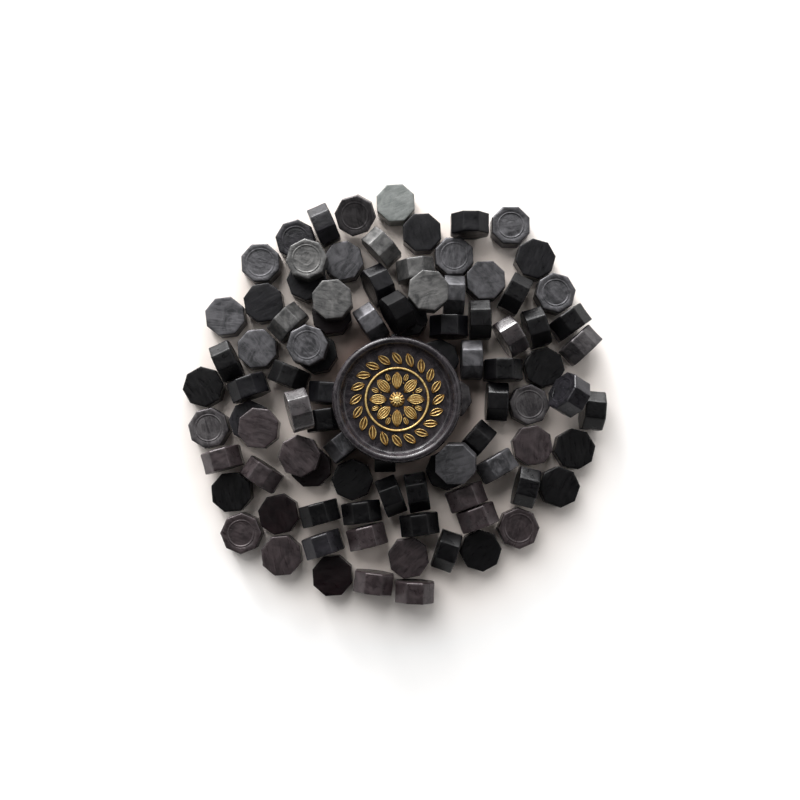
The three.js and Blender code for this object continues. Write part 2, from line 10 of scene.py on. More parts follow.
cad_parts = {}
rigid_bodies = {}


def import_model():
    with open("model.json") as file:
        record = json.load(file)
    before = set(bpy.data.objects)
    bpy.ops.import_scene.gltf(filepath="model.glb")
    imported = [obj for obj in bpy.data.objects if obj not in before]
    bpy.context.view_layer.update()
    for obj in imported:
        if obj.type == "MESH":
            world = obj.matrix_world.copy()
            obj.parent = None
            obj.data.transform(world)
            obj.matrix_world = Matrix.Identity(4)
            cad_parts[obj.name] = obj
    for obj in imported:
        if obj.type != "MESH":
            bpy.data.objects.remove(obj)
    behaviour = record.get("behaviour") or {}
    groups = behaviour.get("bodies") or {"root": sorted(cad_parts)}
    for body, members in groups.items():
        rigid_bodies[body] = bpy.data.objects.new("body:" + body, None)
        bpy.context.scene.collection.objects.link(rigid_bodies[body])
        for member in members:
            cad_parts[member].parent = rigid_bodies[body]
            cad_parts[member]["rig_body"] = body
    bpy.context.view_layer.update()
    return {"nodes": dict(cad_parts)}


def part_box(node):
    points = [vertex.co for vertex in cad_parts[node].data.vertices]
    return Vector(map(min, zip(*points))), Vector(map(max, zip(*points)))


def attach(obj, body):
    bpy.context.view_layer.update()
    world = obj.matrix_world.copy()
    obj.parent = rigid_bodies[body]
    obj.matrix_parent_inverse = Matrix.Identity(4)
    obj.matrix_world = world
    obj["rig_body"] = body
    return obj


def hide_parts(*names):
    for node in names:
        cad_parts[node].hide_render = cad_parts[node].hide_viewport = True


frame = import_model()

MM = 0.001

# Bead
BEAD_WIDTH = 9.3 * MM  # across two opposite flats
BEAD_SIDES = 8
CORNER_ROUND = 0.36 * MM  # between two side facets
PLAIN_EDGE = 0.28 * MM  # round edge of the plain face
MARK_EDGE = 0.42 * MM  # round edge of the marked face
FACE_MARGIN = 0.4 * MM  # flat ring kept inside each edge
ARC_POINTS = 4  # round each corner
EDGE_POINTS = 4  # along each facet between the corners
EDGE_STEPS = 4  # across each round edge
SIDE_SINK = 0.05 * MM  # hollow of the facets, from shrinkage
SIDE_RINGS = ((0.12, 0.25), (0.35, 0.9), (0.65, 0.9), (0.88, 0.25))  # shares of the height and the hollow
ROUNDING_LOSS = 0.4  # how much the corners sharpen for each length that a ring is set in
LEAST_ROUNDING = 0.15 * MM
WOBBLE = 0.09 * MM  # unevenness of the cast faces
WOBBLE_SIZE = 3.2 * MM
WOBBLE_SPREAD = 50  # how far apart the patterns of two beads start
RIPPLE = 0.03 * MM
RIPPLE_SIZE = 1.1 * MM
RIPPLE_SPREAD = 90
CHIPS = 3  # for each bead
CHIP_RADIUS = 0.8 * MM
CHIP_SIZES = (0.6, 1.2)  # shares of the radius
CHIP_DEPTH = 0.16 * MM
CHIP_DEPTHS = (0.5, 1.3)  # shares of the depth
CHIP_STRAY = 0.35  # how far a chip lies off its corner, as a share of a side
CHIP_FALL = 1.5  # how steeply a chip runs out
CAST_STRAY = 0.2  # how far the patterns of two beads of one shade may lie apart, in metres
SAME_POINT = 0.001 * MM
SAME_WAY = 0.9999  # the cosine between the normals of two faces in one plane
PLAIN_FACE_SHARE = 0.7  # a flat of more than this share of an octagon's area is a plain face
FIRST_FLAT = Vector((0.31, 0.87, 0.38))  # a bead's first flat is the one that faces this way the most

# The pouring mark from the edge of the marked face inwards, as radius and depth in millimetres
MARK_PROFILE = [
    (3.62, 0.0), (3.52, 0.04), (3.42, 0.05), (3.30, 0.0), (3.16, -0.02), (3.06, 0.05), (2.94, 0.10),
    (2.80, 0.10),
]
MARK_MIDDLE = 0.09
SWIRLS = (2.6, 0.5, 10)  # the outermost and innermost ring of the swirls inside it, and their number
SWIRL_DEPTH = 0.022  # how much each stands above or below the rest, in millimetres
MARK_SPREAD = 0.05  # how much the rings of one bead are wider or narrower than those of the next
MARK_STRENGTH = (0.4, 1.2)  # the least and greatest share of the depths above
PLAIN_RADII = [3.4, 2.5, 1.6, 0.8]  # rings of the plain face, in millimetres

# Seal
STAMP_RADIUS = 12.5 * MM
FIELD_THICKNESS = 2.7 * MM
SEAL_POINTS = 192
RELIEF_HEIGHT = 0.55 * MM
RELIEF_ROOT = 0.15 * MM
WREATH_MARGIN = 1.5 * MM
LEAF_COUNT = 20
LEAF_LENGTH = 3.6 * MM
LEAF_WIDTH = 1.9 * MM
LEAF_SLANT = math.radians(38)
RING_MARGIN = 0.6 * MM
RING_WIDTH = 0.6 * MM
PETAL_COUNT = 8
PETAL_WIDTH = 2.5 * MM
PETAL_MARGIN = 0.45 * MM
SEPAL_LENGTH = 2.1 * MM
SEPAL_WIDTH = 1.15 * MM
BOSS_RADIUS = 1.8 * MM
BOSS_CROWN = 0.22 * MM
BOSS_FLUTES = 12
DOT_RADIUS = 0.2 * MM
DOT_SHARE = 0.7  # of the height of the rest
SEAL_OVAL = 0.4 * MM  # how much further the pressed-out wall reaches to the left and right
SEAL_WANDER = 0.13 * MM  # how far the wall and rim wander in and out
SEAL_LIFT = 0.1 * MM  # how far they wander up and down
WANDER_FROM = 0.98  # share of the stamp's radius at which the wander starts
WANDER_REACH = 2.3 * MM  # and how much further out it is full
WANDER_WAVES = ((1.6, (3, 7, 1), 1), (4.5, (9, 2, 4), 0.4))  # how fine, where in the noise, and how strong
LIFT_WAVES = (2.3, (1, 5, 8))
LIFT_SINK = 0.8  # how much of it goes down on the whole

# The leaves: their raised edge, and how many ribs they have and how deep they sink between them
LEAF_ROWS = 21
LEAF_COLUMNS = 9
RIB_COLUMNS = 8
LEAF_RIBS = (1, 0.75)
PETAL_RIBS = (3, 0.42)
SEPAL_RIBS = (1, 0.5)
LEAF_TIP = 0.02  # share of the length left off at each tip
LEAF_EDGE = 0.82  # share of the half width at which the edge starts to fall
LEAF_FULLNESS = 1.25  # how soon the height is full behind a tip

# The boss and the dots: points round and up, and shares of their radius or height
BOSS_POINTS = (120, 22)
DOT_POINTS = (14, 4)
FLUTE_MIDDLE = 0.68  # the flutes lie round the slope, deepest here
FLUTE_REACH = 0.3
FLUTE_START = 0.42
FLUTE_DEPTH = 0.45
KNOB_GROOVE = 0.36  # a groove round the knob in the boss's middle
KNOB_GROOVE_REACH = 0.06
KNOB_GROOVE_DEPTH = 0.8
KNOB_DEPTH = 0.7
RING_FOOT = 0.35  # share of the ring's height that stands upright

# The outline of the seal from the middle of its foot round to the edge of the field, as the share of
# the wall beyond the stamp, or of the stamp's radius, and the share of the thickness
SEAL_FOOT = [0.25, 0.5, 0.75, 0.95]
SEAL_WALL = [
    (0.52, 0.0), (0.74, 0.03), (0.88, 0.09), (0.96, 0.19), (1.0, 0.32), (1.0, 0.44), (1.0, 0.56),
    (0.995, 0.66), (0.985, 0.74), (0.963, 0.81), (0.93, 0.868), (0.885, 0.912), (0.83, 0.948),
    (0.77, 0.974), (0.7, 0.991), (0.62, 0.999), (0.54, 0.998), (0.46, 0.986), (0.38, 0.96),
    (0.3, 0.918), (0.22, 0.86), (0.15, 0.795), (0.08, 0.728), (0.01, 0.674), (-0.06, 0.64),
    (-0.14, 0.623), (-0.22, 0.617),
]
SEAL_FIELD = [0.93, 0.86, 0.78, 0.68, 0.57, 0.46, 0.35, 0.24, 0.12]

# Which shade of wax each bead shows, by number
SHADES = {
    "silver": "11",
    "pale": "05 09 13 14 15 19",
    "ash": "01 03 08 18 21 23 52 65 69 77 78 80 81 82 90",
    "dusk": "10 30 64 68 75",
    "brown": "29 32 34 35 37 39 45 50 51 54 55 56 59 63",
    "glossy": "28 72",
    "dark": "04 07 31 41 88 94",
    "night": "02 06 12 16 26 76 79 86 87 89",
    "dull": "17",
    "ruddy": "20 33 38 42",
}
PLAIN_SHADE = "jet"

# Patterns in the wax and the paint: waves in a metre, detail, roughness and distortion
EVEN = (1, 1, 1)
DRIFTS = (240, 5, 0.58, 1.2)
FLOW = (1000, 4, 0.62, 1.6)
FLOW_STRETCH = (0.2, 1, 0.5)
SCUFFS = (3800, 2, 0.6, 1.2)
SCUFF_STRETCH = (1, 0.1, 0.35)
SPECKS = (5200, 1, 0.5)
MARBLE = (170, 5, 0.55, 3.0)
VEINS = (420, 5, 0.6, 4.0)
VEIN_STRETCH = (1, 0.4, 1)
SCRATCHES = (2600, 2, 0.6, 0.3)
SCRATCH_STRETCH = (1, 0.05, 0.3)
WEAR = (1500, 4, 0.65, 0.8)
BRUSH = (3200, 3, 0.6, 0.8)
BRUSH_STRETCH = (1, 0.15, 1)

# Where each pattern starts and ends to tell, and from what share to what share
DRIFT_TELLS = (0.38, 0.64)
FLOW_LIGHTENS = (0.5, 0.68, 0, 0.6)
FLOW_DARKENS = (0.46, 0.32, 0, 0.45)
SCUFFS_LIGHTEN = (0.6, 0.78, 0, 0.45)
SPECKS_LIGHTEN = (0.72, 0.8, 0, 0.7)
MARBLE_TELLS = (0.35, 0.68)
VEINS_LIGHTEN = (0.56, 0.7, 0, 0.6)
SCRATCHES_LIGHTEN = (0.7, 0.8, 0, 0.3)
BRUSH_TELLS = (0.35, 0.7)
MIDDLE = (0.3, 0.7)  # the part of a pattern that roughness follows
SPECK_GAIN = 1.7  # the colour of a speck over that of the light wax
SPECK_LIFT = 0.02
GLOSS_SPREAD = (-0.06, 0.12)  # roughness off that of the shade
POLISH_ROUGHNESS = 0.2
POLISH_IOR = 1.75
SCUFF_HEIGHT = 0.4  # beside the flow lines in the bump
BUMP = 0.4
BUMP_DEPTH = 0.1 * MM
SEAL_BUMP = 0.06
SEAL_ROUGHNESS = (0.2, 0.32)
SEAL_PEARL = 0.08
SEAL_SHINE = 0.42

# The gilt paint, from the height at which it may start on the design
GILT_FOOT = 0.25 * MM
GILT_UNEVEN = 0.5 * MM
GILT_STARTS = (0.14 * MM, 0.26 * MM)
# the height over which the pale painted highlight comes in towards the crests
GILT_PAINTED_HIGHLIGHT = (0.4 * MM, 0.6 * MM)
GILT_METAL = (0.05, 0.55)
GILT_ROUGHNESS = (0.3, 0.46)
GILT_BUMP_DEPTH = 0.06 * MM

# The table
TABLE_REACH = 6.0
TABLE_LEVEL = -0.02 * MM  # just under what lies on it
TABLE_ROUGHNESS = 0.9
TABLE_SHINE = 0.1
PAINTED_SHADE_REACH = (14 * MM, 28 * MM)  # where the painted shade, deepest between the pieces, runs out
PAINTED_WARM_SHADE_REACH = (42 * MM, 62 * MM)  # and where the warm painted shade round them runs out

# The room: the range of height or depth in which each light changes, and from what to what
ROOM_BAND = (0.1, 0.3, 0.85, 0.08)
ROOM_SIDE = (-0.6, 0.6, 0.6, 1.0)
HORIZON = (0.03, 0.22, 1.0, 0.0)

# Each lamp: its direction in degrees from +X, its height in degrees, how wide it looks, and its strength
LAMPS = {
    "window_low": (82, 8, 22, 2.3),
    "window_core": (111, 9, 22, 4.3),
    "window_right": (68, 24, 34, 0.8),
    "window_left": (126, 24, 34, 0.7),
    "window_glow": (112, 46, 44, 2.3),
    "room_right": (20, 46, 44, 0.6),
    "room_left": (180, 46, 44, 0.3),
}

# Where the picture's middle meets the table, and the view on it
VIEW_POINT = (1.555 * MM, -2.016 * MM)
VIEW_LEAN = math.radians(4)
VIEW_HEIGHT = 241.2 * MM
PICTURE_PIXELS = 800
LENS_PIXELS = 988
SENSOR_WIDTH = 36.0  # millimetres, as the camera's own setting is
NEAR_CLIP = 0.01


def linear(red, green, blue):
    """A colour written as 0 to 255 on screen, as the shader wants it."""
    def one(value):
        share = value / 255
        return share / 12.92 if share <= 0.04045 else ((share + 0.055) / 1.055) ** 2.4
    return (one(red), one(green), one(blue), 1.0)


def object_from(name, points, faces, material, cast, smooth=True):
    """A mesh object in the scene from its points and faces, with the coordinates it was cast in."""
    mesh = bpy.data.meshes.new(name)
    mesh.from_pydata([tuple(p) for p in points], [], faces)
    mesh.validate()
    mesh.polygons.foreach_set("use_smooth", [smooth] * len(mesh.polygons))
    mesh.materials.append(material)
    mesh.update()
    where = mesh.attributes.new("cast", "FLOAT_VECTOR", "POINT")
    where.data.foreach_set("vector", np.array(cast, np.float32).ravel())
    piece = bpy.data.objects.new(name, mesh)
    bpy.context.scene.collection.objects.link(piece)
    return piece


# Materials

def new_material(name):
    """An empty material, its node maker, its link maker and its surface shader."""
    material = bpy.data.materials.new(name)
    material.use_nodes = True
    tree = material.node_tree
    tree.nodes.clear()
    output = tree.nodes.new("ShaderNodeOutputMaterial")
    shader = tree.nodes.new("ShaderNodeBsdfPrincipled")
    tree.links.new(shader.outputs["BSDF"], output.inputs["Surface"])
    return material, tree.nodes.new, tree.links.new, shader


def grain(node, link, stretch):
    """The coordinates in which a piece was cast, stretched for a pattern."""
    place = node("ShaderNodeAttribute")
    place.attribute_name = "cast"
    mapping = node("ShaderNodeMapping")
    mapping.inputs["Scale"].default_value = stretch
    link(place.outputs["Vector"], mapping.inputs["Vector"])
    return mapping.outputs["Vector"]


def cloud(node, link, vector, scale, detail, roughness, distortion=0.0):
    """A noise pattern from 0 to 1."""
    pattern = node("ShaderNodeTexNoise")
    pattern.inputs["Scale"].default_value = scale
    pattern.inputs["Detail"].default_value = detail
    pattern.inputs["Roughness"].default_value = roughness
    pattern.inputs["Distortion"].default_value = distortion
    link(vector, pattern.inputs["Vector"])
    return pattern.outputs["Fac"]


def spread_over(node, link, value, low, high, to_low=0.0, to_high=1.0):
    """A value between low and high, brought to another range."""
    remap = node("ShaderNodeMapRange")
    remap.inputs["From Min"].default_value = low
    remap.inputs["From Max"].default_value = high
    remap.inputs["To Min"].default_value = to_low
    remap.inputs["To Max"].default_value = to_high
    link(value, remap.inputs["Value"])
    return remap.outputs["Result"]


def mixed(node, link, share, first, second):
    """Two colours mixed by a share. Each is a colour or the output of another mix."""
    mix = node("ShaderNodeMix")
    mix.data_type = "RGBA"
    link(share, mix.inputs["Factor"])
    for value, socket in ((first, mix.inputs["A"]), (second, mix.inputs["B"])):
        if isinstance(value, tuple):
            socket.default_value = value
        else:
            link(value, socket)
    return mix.outputs["Result"]


def multiplied_and_added(node, link, value, factor, other):
    """A value times a factor, plus another value."""
    result = node("ShaderNodeMath")
    result.operation = "MULTIPLY_ADD"
    result.inputs[1].default_value = factor
    link(value, result.inputs[0])
    link(other, result.inputs[2])
    return result.outputs["Value"]


def joined(node, link, operation, first, second):
    """Two values joined by an operation, such as their product or the greater of them."""
    result = node("ShaderNodeMath")
    result.operation = operation
    link(first, result.inputs[0])
    link(second, result.inputs[1])
    return result.outputs["Value"]


def bumped(node, link, shader, height, strength, distance):
    """Gives a shader a bump from a height pattern."""
    bump = node("ShaderNodeBump")
    bump.inputs["Strength"].default_value = strength
    bump.inputs["Distance"].default_value = distance
    link(height, bump.inputs["Height"])
    link(bump.outputs["Normal"], shader.inputs["Normal"])


def wax(name, deep, light, gloss, pearl, shine=0.4, polish=0.0):
    """Cast wax with mica stirred in: drifts, flow lines that bend with them, fine scuffs and specks."""
    material, node, link, shader = new_material(name)
    plain = grain(node, link, EVEN)
    drifts = cloud(node, link, plain, *DRIFTS)
    flow = cloud(node, link, grain(node, link, FLOW_STRETCH), *FLOW)
    scuffs = cloud(node, link, grain(node, link, SCUFF_STRETCH), *SCUFFS)
    specks = cloud(node, link, plain, *SPECKS)
    bright = tuple(min(1.0, channel * SPECK_GAIN + SPECK_LIFT) for channel in light[:3]) + (1.0,)
    colour = deep
    for pattern, tells, towards in (
            (drifts, DRIFT_TELLS, light),
            (flow, FLOW_LIGHTENS, light),
            (flow, FLOW_DARKENS, deep),
            (scuffs, SCUFFS_LIGHTEN, light),
            (specks, SPECKS_LIGHTEN, bright)):
        colour = mixed(node, link, spread_over(node, link, pattern, *tells), colour, towards)
    link(colour, shader.inputs["Base Color"])
    smoothest, roughest = (gloss + off for off in GLOSS_SPREAD)
    link(spread_over(node, link, flow, *MIDDLE, smoothest, roughest), shader.inputs["Roughness"])
    shader.inputs["Metallic"].default_value = pearl
    shader.inputs["Specular IOR Level"].default_value = shine
    shader.inputs["Coat Weight"].default_value = polish
    shader.inputs["Coat Roughness"].default_value = POLISH_ROUGHNESS
    shader.inputs["Coat IOR"].default_value = POLISH_IOR
    heights = multiplied_and_added(node, link, scuffs, SCUFF_HEIGHT, flow)
    bumped(node, link, shader, heights, BUMP, BUMP_DEPTH)
    return material


def poured_wax():
    """The wax of the seal: melted and pressed smooth, glossy, with faint marbling and few scratches."""
    material, node, link, shader = new_material("wax_seal")
    marble = cloud(node, link, grain(node, link, EVEN), *MARBLE)
    veins = cloud(node, link, grain(node, link, VEIN_STRETCH), *VEINS)
    scratches = cloud(node, link, grain(node, link, SCRATCH_STRETCH), *SCRATCHES)
    colour = linear(24, 22, 25)
    for pattern, tells, towards in (
            (marble, MARBLE_TELLS, linear(50, 45, 48)),
            (veins, VEINS_LIGHTEN, linear(70, 65, 69)),
            (scratches, SCRATCHES_LIGHTEN, linear(84, 82, 84))):
        colour = mixed(node, link, spread_over(node, link, pattern, *tells), colour, towards)
    link(colour, shader.inputs["Base Color"])
    link(spread_over(node, link, marble, *MIDDLE, *SEAL_ROUGHNESS), shader.inputs["Roughness"])
    shader.inputs["Metallic"].default_value = SEAL_PEARL
    shader.inputs["Specular IOR Level"].default_value = SEAL_SHINE
    bumped(node, link, shader, veins, SEAL_BUMP, BUMP_DEPTH)
    return material


def gilt():
    """Gold paint wiped over the raised design by hand: amber lower down, paler towards its crests as a
    painted highlight, and thin or missing in its creases."""
    material, node, link, shader = new_material("gilt_paint")
    plain = grain(node, link, EVEN)
    worn = cloud(node, link, plain, *WEAR)
    brush = cloud(node, link, grain(node, link, BRUSH_STRETCH), *BRUSH)
    parts = node("ShaderNodeSeparateXYZ")
    link(plain, parts.inputs["Vector"])
    height = multiplied_and_added(node, link, worn, GILT_UNEVEN, parts.outputs["Z"])
    foot = FIELD_THICKNESS + GILT_FOOT
    painted = spread_over(node, link, height, *(foot + up for up in GILT_STARTS))
    # Painted highlight: the gold turns pale towards the crests of the design.
    painted_highlight = spread_over(node, link, height, *(foot + up for up in GILT_PAINTED_HIGHLIGHT))
    brushed = spread_over(node, link, brush, *BRUSH_TELLS)
    amber = mixed(node, link, brushed, linear(92, 62, 22), linear(164, 122, 52))
    gold = mixed(node, link, painted_highlight, amber, linear(216, 190, 126))
    link(mixed(node, link, painted, linear(26, 21, 17), gold), shader.inputs["Base Color"])
    link(spread_over(node, link, painted, 0, 1, *GILT_METAL), shader.inputs["Metallic"])
    link(spread_over(node, link, brush, *MIDDLE, *GILT_ROUGHNESS), shader.inputs["Roughness"])
    bumped(node, link, shader, brush, BUMP, GILT_BUMP_DEPTH)
    return material


# Each shade: its deep and its light colour, roughness, pearl and shine, and the polish of its surface
WAX_SHADES = {
    "silver": wax("wax_silver", linear(100, 104, 102), linear(128, 131, 129), 0.42, 0.7),
    "pale": wax("wax_pale", linear(65, 65, 65), linear(108, 107, 106), 0.4, 0.72),
    "ash": wax("wax_ash", linear(55, 55, 57), linear(94, 93, 96), 0.38, 0.72),
    "dusk": wax("wax_dusk", linear(54, 51, 53), linear(90, 87, 88), 0.36, 0.65),
    "brown": wax("wax_brown", linear(42, 34, 36), linear(70, 60, 62), 0.3, 0.5, 1.0),
    "glossy": wax("wax_glossy", linear(26, 21, 23), linear(49, 42, 44), 0.28, 0.2, 0.6, 0.8),
    "dark": wax("wax_dark", linear(15, 15, 18), linear(38, 36, 41), 0.3, 0.35, 0.55),
    "night": wax("wax_night", linear(6, 6, 9), linear(17, 16, 20), 0.32, 0.14, 0.32),
    "jet": wax("wax_jet", linear(2, 2, 3), linear(7, 6, 8), 0.3, 0.05, 0.28),
    "dull": wax("wax_dull", linear(2, 2, 3), linear(7, 6, 8), 0.42, 0.0, 0.08),
    "ruddy": wax("wax_ruddy", linear(8, 2, 4), linear(19, 7, 10), 0.32, 0.05, 0.28),
}
SEAL_WAX = poured_wax()
GILT = gilt()


# Beads

def bead_numbers(name):
    """The numbers of the beads that a CAD node holds, from left to right."""
    return name.replace("bead_", "").split("_with_")


def flat_regions(mesh):
    """The flat regions of a mesh, each as its outward normal, its area and its corner points."""
    shape = bmesh.new()
    shape.from_mesh(mesh)
    bmesh.ops.remove_doubles(shape, verts=shape.verts, dist=SAME_POINT)
    left = set(shape.faces)
    regions = []
    for seed in sorted(shape.faces, key=lambda face: -face.calc_area()):
        if seed not in left:
            continue
        normal = seed.normal.copy()
        left.discard(seed)
        grown = [seed]
        for face in grown:
            for edge in face.edges:
                for other in edge.link_faces:
                    if other in left and other.normal.dot(normal) > SAME_WAY:
                        left.discard(other)
                        grown.append(other)
        corners = sorted({tuple(vertex.co) for face in grown for vertex in face.verts})
        area = sum(face.calc_area() for face in grown)
        regions.append((normal, area, [Vector(corner) for corner in corners]))
    shape.free()
    return regions


def seats_of(node, thickness):
    """The place and turn of each bead in a CAD node, from left to right. A bead's own +Z leads from its
    plain face to its marked face, and its +Y to a flat."""
    least = PLAIN_FACE_SHARE * 2 * math.tan(math.pi / BEAD_SIDES) * BEAD_WIDTH ** 2
    step = 2 * math.pi / BEAD_SIDES
    seats = []
    for normal, area, corners in flat_regions(node.data):
        if area > least:
            pairs = ((one, other) for one in corners for other in corners)
            one, other = max(pairs, key=lambda pair: (pair[0] - pair[1]).length)
            up = -normal
            corner = (one - other).normalized()
            flats = [Matrix.Rotation((index + 0.5) * step, 3, up) @ corner for index in range(BEAD_SIDES)]
            flat = max(flats, key=FIRST_FLAT.dot)
            turn = Matrix((flat.cross(up), flat, up)).transposed().to_4x4()
            middle = (one + other) / 2 + up * (thickness / 2)
            seats.append(Matrix.Translation(middle) @ turn)
    return sorted(seats, key=lambda seat: seat.translation.x)


def octagon(inradius, rounding):
    """Points once round an octagon with rounded corners."""
    points = []
    reach = (inradius - rounding) / math.cos(math.pi / BEAD_SIDES)
    step = 2 * math.pi / BEAD_SIDES
    for index in range(BEAD_SIDES):
        angle = (index + 0.5) * step
        middle = Vector((math.cos(angle), math.sin(angle))) * reach
        for at in range(ARC_POINTS):
            way = angle + (at / (ARC_POINTS - 1) - 0.5) * step
            points.append(middle + Vector((math.cos(way), math.sin(way))) * rounding)
        start = points[-1]
        way = angle + step / 2
        angle += step
        middle = Vector((math.cos(angle), math.sin(angle))) * reach
        end = middle + Vector((math.cos(way), math.sin(way))) * rounding
        for at in range(1, EDGE_POINTS + 1):
            points.append(start.lerp(end, at / (EDGE_POINTS + 1)))
    return points


def bead_rings(thickness, spread, strength, draw):
    """The rings of points of a bead from the middle of its plain face round to that of its marked face.
    Its pouring mark is spread wider or narrower, and pressed in more or less, with uneven swirls in it."""
    half = thickness / 2
    radius = BEAD_WIDTH / 2
    outline = octagon(radius, CORNER_ROUND)
    ways = [point.normalized() for point in outline]

    def circle(size, height):
        return [(way.x * size, way.y * size, height) for way in ways]

    def inset(by, height):
        rounding = max(CORNER_ROUND - by * ROUNDING_LOSS, LEAST_ROUNDING)
        return [(point.x, point.y, height) for point in octagon(radius - by, rounding)]

    rings = [circle(size * MM, -half) for size in reversed(PLAIN_RADII)]
    rings.append(inset(PLAIN_EDGE + FACE_MARGIN, -half))
    for step in range(EDGE_STEPS + 1):
        turn = math.pi / 2 * step / EDGE_STEPS
        rings.append(inset(PLAIN_EDGE * (1 - math.sin(turn)), -half + PLAIN_EDGE * (1 - math.cos(turn))))
    low = -half + PLAIN_EDGE
    high = half - MARK_EDGE
    for share, sink in SIDE_RINGS:
        rings.append(inset(SIDE_SINK * sink, low + (high - low) * share))
    for step in range(EDGE_STEPS + 1):
        turn = math.pi / 2 * step / EDGE_STEPS
        rings.append(inset(MARK_EDGE * (1 - math.cos(turn)), high + MARK_EDGE * math.sin(turn)))
    outermost, innermost, count = SWIRLS
    swirls = []
    for step in range(count):
        size = outermost + (innermost - outermost) * step / (count - 1)
        swirls.append((size, MARK_MIDDLE + draw.uniform(-SWIRL_DEPTH, SWIRL_DEPTH)))
    for size, depth in MARK_PROFILE + swirls:
        rings.append(circle(size * spread * MM, half - depth * strength * MM))
    return rings


def lofted(rings, first, last):
    """A closed surface through rings of points, with a point at each end."""
    around = len(rings[0])
    points = [first] + [point for ring in rings for point in ring] + [last]
    faces = []
    for index in range(around):
        after = (index + 1) % around
        faces.append((0, 1 + after, 1 + index))
        for ring in range(len(rings) - 1):
            low = 1 + ring * around
            high = low + around
            faces.append((low + index, low + after, high + after, high + index))
        top = 1 + (len(rings) - 1) * around
        faces.append((top + index, top + after, len(points) - 1))
    return np.array(points, float), faces


def point_normals(points, faces):
    """The normal at each point, as the mean of its faces' normals."""
    mesh = bpy.data.meshes.new("measure")
    mesh.from_pydata([tuple(p) for p in points], [], faces)
    normals = np.array([vertex.normal for vertex in mesh.vertices])
    bpy.data.meshes.remove(mesh)
    return normals


def roughened(points, normals, draw):
    """The points of a cast piece pressed in a little, unevenly, with a few chips off its edges."""
    shift = Vector([draw.uniform(-1, 1) for axis in range(3)])
    moved = points.copy()
    for index, (point, normal) in enumerate(zip(points, normals)):
        place = Vector(point)
        broad = noise.noise(place / WOBBLE_SIZE + shift * WOBBLE_SPREAD)
        fine = noise.noise(place / RIPPLE_SIZE + shift * RIPPLE_SPREAD)
        moved[index] -= normal * (WOBBLE * (0.5 + 0.5 * broad) + RIPPLE * (0.5 + 0.5 * fine))
    for chip in range(CHIPS):
        corner = draw.randrange(BEAD_SIDES) + 0.5 + draw.uniform(-CHIP_STRAY, CHIP_STRAY)
        angle = corner * 2 * math.pi / BEAD_SIDES
        side = draw.choice((-1, 1))
        reach = BEAD_WIDTH / 2 / math.cos(math.pi / BEAD_SIDES)
        spot = np.array([math.cos(angle) * reach, math.sin(angle) * reach, side * points[:, 2].max()])
        size = CHIP_RADIUS * draw.uniform(*CHIP_SIZES)
        far = np.linalg.norm(points - spot, axis=1)
        fall = np.clip(1 - far / size, 0, 1) ** CHIP_FALL
        moved -= normals * (fall * CHIP_DEPTH * draw.uniform(*CHIP_DEPTHS) * size / CHIP_RADIUS)[:, None]
    return moved


def shade_of(number):
    """The name of the shade of a bead."""
    for shade, numbers in SHADES.items():
        if number in numbers.split():
            return shade
    return PLAIN_SHADE


def make_beads():
    """Every bead as its own piece, in the place of its CAD node."""
    low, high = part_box("bead_03")
    thickness = high.z - low.z
    half = thickness / 2
    for name, node in sorted(frame["nodes"].items()):
        if not name.startswith("bead_"):
            continue
        seats = seats_of(node, thickness)
        numbers = bead_numbers(name)
        if len(seats) != len(numbers):
            raise ValueError(f"{name} holds {len(seats)} plain faces")
        for number, seat in zip(numbers, seats):
            draw = random.Random(int(number))
            strength = draw.uniform(*MARK_STRENGTH)
            spread = 1 + draw.uniform(-1, 1) * MARK_SPREAD
            rings = bead_rings(thickness, spread, strength, draw)
            points, faces = lofted(rings, (0, 0, -half), (0, 0, half - MARK_MIDDLE * strength * MM))
            moved = roughened(points, point_normals(points, faces), draw)
            turn = np.array(seat.to_3x3())
            placed = moved @ turn.T + np.array(seat.translation)
            flow = Matrix.Rotation(draw.uniform(0, 2 * math.pi), 3, "Z")
            stray = [draw.uniform(-CAST_STRAY, CAST_STRAY) for axis in range(3)]
            cast = points @ np.array(flow).T + stray
            piece = object_from(f"wax_bead_{number}", placed, faces, WAX_SHADES[shade_of(number)], cast)
            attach(piece, node["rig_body"])
            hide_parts(name)


# Seal

def turned(profile, around, warp=None):
    """Rings of a turned form about +Z from its radius and height profile."""
    rings = []
    for radius, height in profile:
        ring = []
        for index in range(around):
            angle = 2 * math.pi * index / around
            out, up = warp(angle, radius, height) if warp else (radius, height)
            ring.append((math.cos(angle) * out, math.sin(angle) * out, up))
        rings.append(ring)
    return rings


def arched_solid(top, base):
    """A closed solid between a grid of points and the same grid let down to a level base."""
    rows, columns = len(top), len(top[0])
    points = [point for row in top for point in row]
    points += [(x, y, base) for x, y, z in points]
    below = rows * columns
    faces = []
    for row in range(rows - 1):
        for column in range(columns - 1):
            at = row * columns + column
            quad = (at, at + 1, at + columns + 1, at + columns)
            faces.append(quad)
            faces.append(tuple(below + index for index in reversed(quad)))
    edge = list(range(columns))
    edge += [row * columns + columns - 1 for row in range(1, rows)]
    edge += [(rows - 1) * columns + column for column in range(columns - 2, -1, -1)]
    edge += [row * columns for row in range(rows - 2, 0, -1)]
    for index, one in enumerate(edge):
        other = edge[(index + 1) % len(edge)]
        faces.append((other, one, below + one, below + other))
    return points, faces


